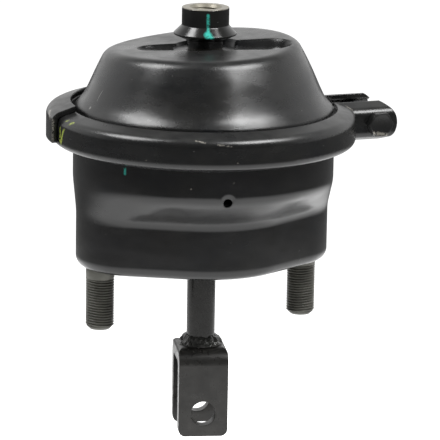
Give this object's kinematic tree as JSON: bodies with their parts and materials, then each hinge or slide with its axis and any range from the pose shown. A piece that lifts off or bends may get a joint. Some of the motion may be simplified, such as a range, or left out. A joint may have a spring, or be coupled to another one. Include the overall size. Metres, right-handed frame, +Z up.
{
  "type": "air brake chamber",
  "caption": "Single-diaphragm air brake chamber with clamped black steel housings, top port boss, two mounting studs, sprung push rod and clevis",
  "frame": {"origin": "centre of the mounting face, on the push rod axis", "axes": "+Z up towards the air port, +X along the line of the two studs towards the clamp bolt, -Y towards the viewer's side with the vent hole"},
  "size_m": [0.1961, 0.17, 0.2423],
  "materials": {
    "housing_paint": "glossy black paint over drawn steel",
    "rod_coat": "semi-matt black-brown dip coat on machined steel",
    "spring_steel": "phosphated spring wire",
    "black_rubber": "matt fabric-reinforced rubber",
    "guide_nylon": "natural nylon"
  },
  "bodies": {
    "chamber": {"pressure_housing": "housing_paint", "inlet_boss": "housing_paint", "boss_weld": "housing_paint", "clamp_band_front": "housing_paint", "clamp_band_rear": "housing_paint", "clamp_bolt": "rod_coat", "clamp_nut": "rod_coat", "return_spring": "spring_steel", "non_pressure_housing": "housing_paint", "reinforcement_plate": "housing_paint", "mounting_stud_left": "rod_coat", "mounting_stud_right": "rod_coat", "rod_guide": "guide_nylon", "dust_seal": "black_rubber", "seal_retainer": "spring_steel"},
    "diaphragm_travel": {"diaphragm": "black_rubber"},
    "push_rod_assembly": {"push_plate": "rod_coat", "plate_weld": "rod_coat", "push_rod": "rod_coat", "clevis": "rod_coat", "clevis_weld": "rod_coat"}
  },
  "joints": [
    {"name": "rod_stroke", "type": "slide", "parent": "chamber", "child": "diaphragm_travel", "axis": [0, 0, -1], "range_m": [0, 0.057], "stiffness_N_per_m": 2600, "springref_m": -0.05, "deforming": ["return_spring", "diaphragm"]},
    {"name": "rod_swivel", "type": "hinge", "parent": "diaphragm_travel", "child": "push_rod_assembly", "pos_m": [0, 0, 0], "axis": [0, 0, 1], "continuous": true}
  ]
}
